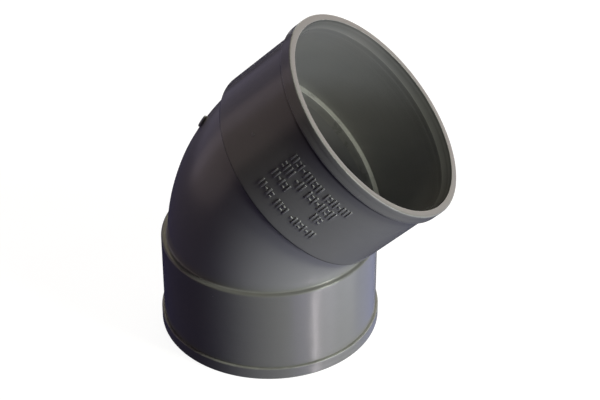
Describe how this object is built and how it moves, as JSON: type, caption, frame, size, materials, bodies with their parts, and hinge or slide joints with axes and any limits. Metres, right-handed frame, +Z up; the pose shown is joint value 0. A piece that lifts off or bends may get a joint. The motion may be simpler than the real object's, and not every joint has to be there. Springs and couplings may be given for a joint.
{
  "type": "pipe elbow",
  "caption": "Moulded plastic 45-degree elbow with a plain cemented socket at each end, for joining lengths of 110 mm drain pipe at an angle.",
  "frame": {"origin": "centre of the lower socket's mouth, on its end face", "axes": "+Z up the lower socket's axis into the fitting, +X the way the upper socket leans, Y across the mould's parting plane, which is Y = 0"},
  "size_m": [0.1585, 0.1206, 0.1785],
  "materials": {
    "socket_pvc": "Semi-gloss moulded grey PVC-U with a fine mould texture, turned tool lines near the mouths and light handling scuffs",
    "lip_pvc": "Semi-gloss moulded grey PVC-U, brighter and rubbed along the rim edges",
    "bend_pvc": "Semi-gloss moulded grey PVC-U with flow streaks along the bend and a fine parting line",
    "gate_pvc": "Dull grey PVC-U, broken and trimmed, with a rough face",
    "marking_pvc": "Grey PVC-U strokes standing proud of the wall, with their top edges rubbed lighter"
  },
  "bodies": {
    "root": {"lower_socket": "socket_pvc", "upper_socket": "socket_pvc", "lower_mouth_lip": "lip_pvc", "upper_mouth_lip": "lip_pvc", "lower_stop_ring": "bend_pvc", "upper_stop_ring": "bend_pvc", "bend": "bend_pvc", "gate_stub": "gate_pvc", "size_marking": "marking_pvc"}
  },
  "joints": []
}
